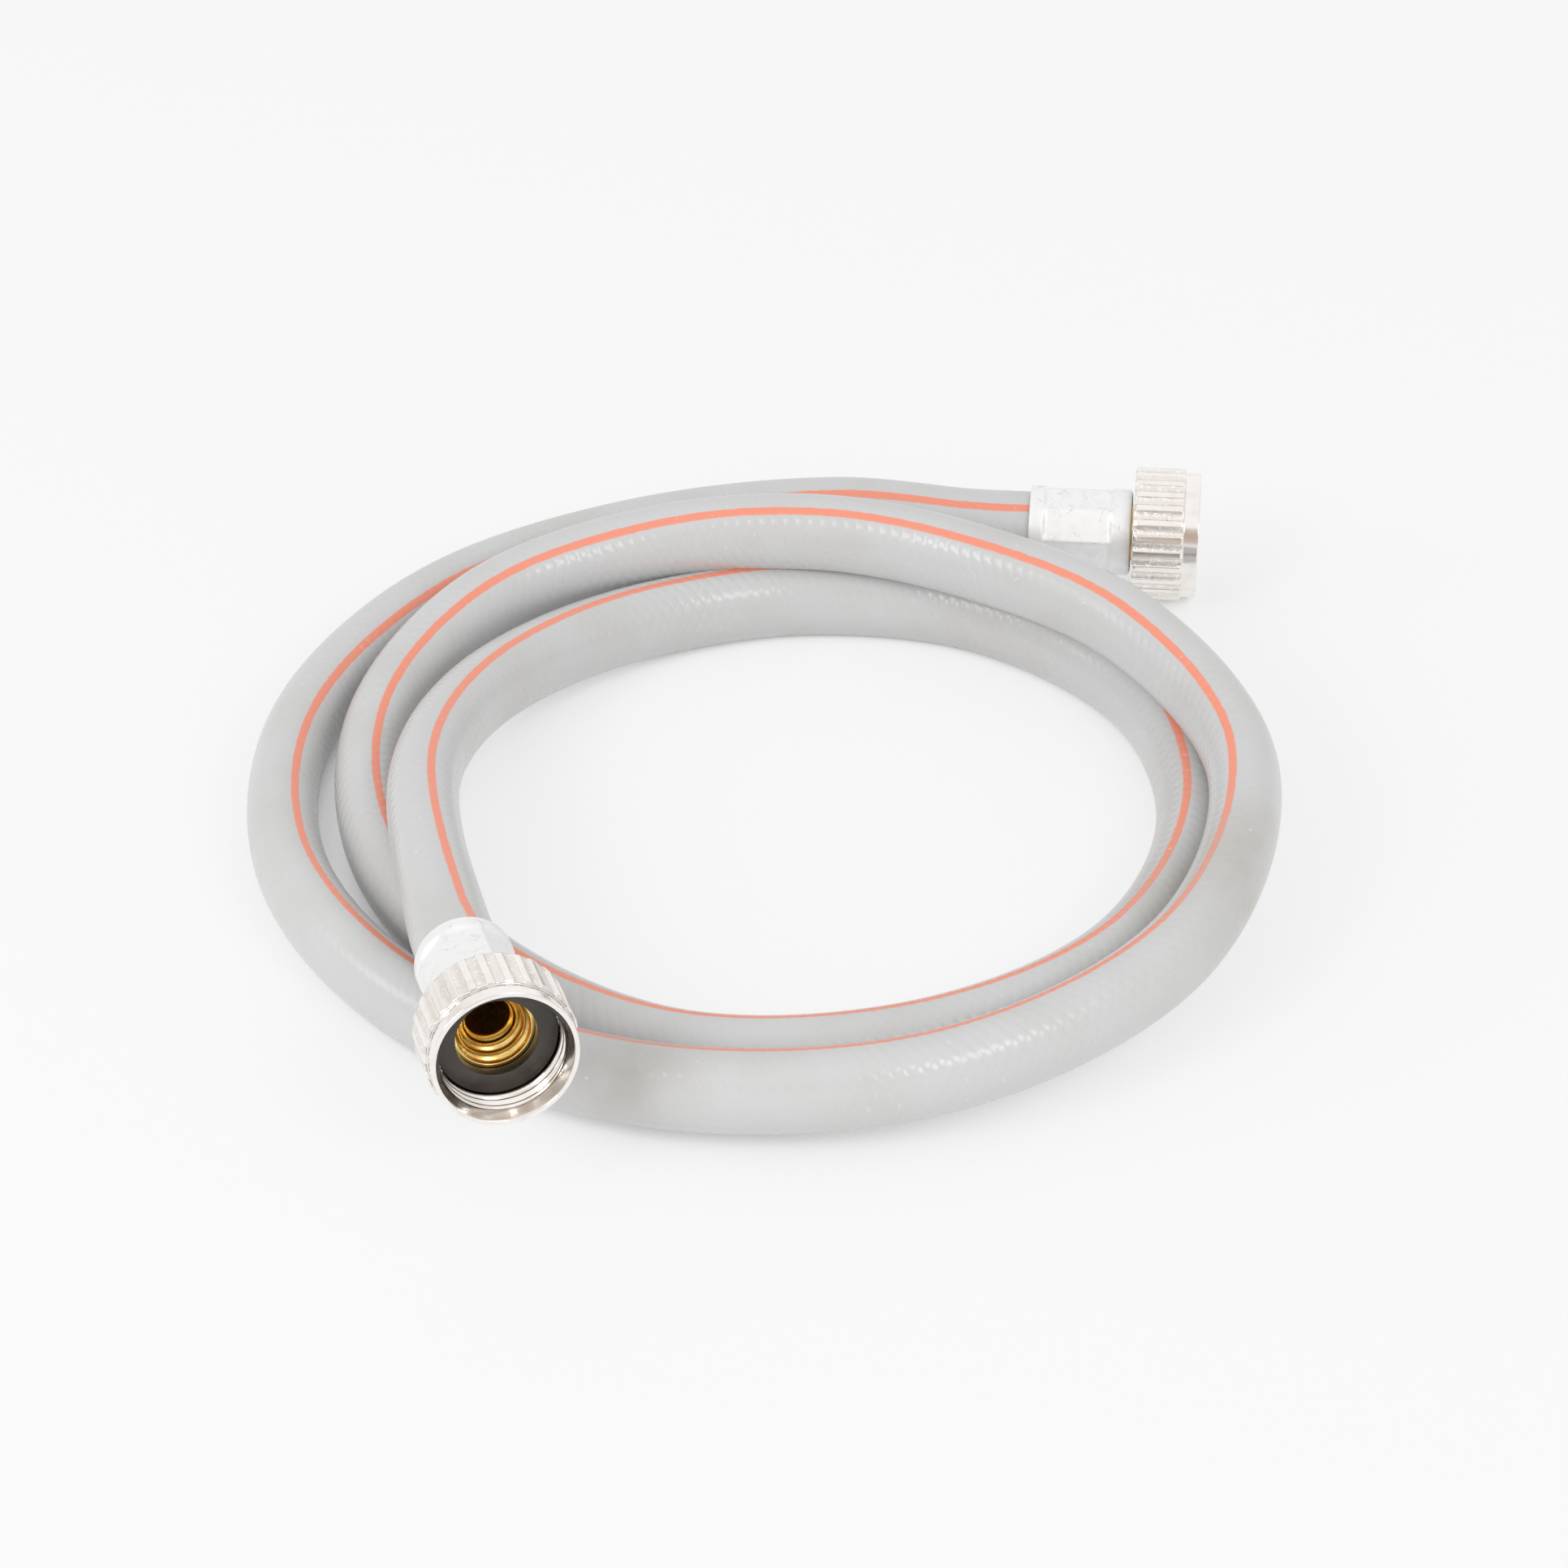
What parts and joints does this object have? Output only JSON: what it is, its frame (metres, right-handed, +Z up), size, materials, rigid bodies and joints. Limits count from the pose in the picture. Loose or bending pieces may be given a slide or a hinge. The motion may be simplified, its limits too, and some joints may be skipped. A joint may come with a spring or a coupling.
{
  "type": "inlet hose",
  "caption": "Flexible water inlet hose in a loose coil, with a crimped ferrule and a swivelling threaded union nut with a washer at each end.",
  "frame": {"origin": "on the surface that the hose lies on, below the middle of the box round the two couplings", "axes": "+Z up; +Y from the front of the coil, where the upper coupling lies, to the back; +X to the right, where the lower coupling points"},
  "size_m": [0.2256, 0.2365, 0.0532],
  "materials": {
    "hose_skin": "light grey, half gloss, with one orange stripe and the braid faintly raised",
    "ferrule_metal": "pale, fine scratched",
    "insert_brass": "turned, bright",
    "nut_metal": "nickel plated, warm, with rough flutes",
    "washer_rubber": "matt black"
  },
  "bodies": {
    "hose": {"hose": "hose_skin", "near_ferrule": "ferrule_metal", "near_insert": "insert_brass", "far_ferrule": "ferrule_metal", "far_insert": "insert_brass"},
    "near_nut": {"near_nut": "nut_metal", "near_washer": "washer_rubber"},
    "far_nut": {"far_nut": "nut_metal", "far_washer": "washer_rubber"}
  },
  "joints": [
    {"name": "near_nut_swivel", "type": "hinge", "parent": "hose", "child": "near_nut", "pos_m": [-0.0684, -0.10646, 0.03718], "axis": [0.2716, -0.9472, 0.1702], "continuous": true},
    {"name": "far_nut_swivel", "type": "hinge", "parent": "hose", "child": "far_nut", "pos_m": [0.07829, 0.1014, 0.01571], "axis": [0.9946, -0.1028, 0.014], "continuous": true}
  ]
}
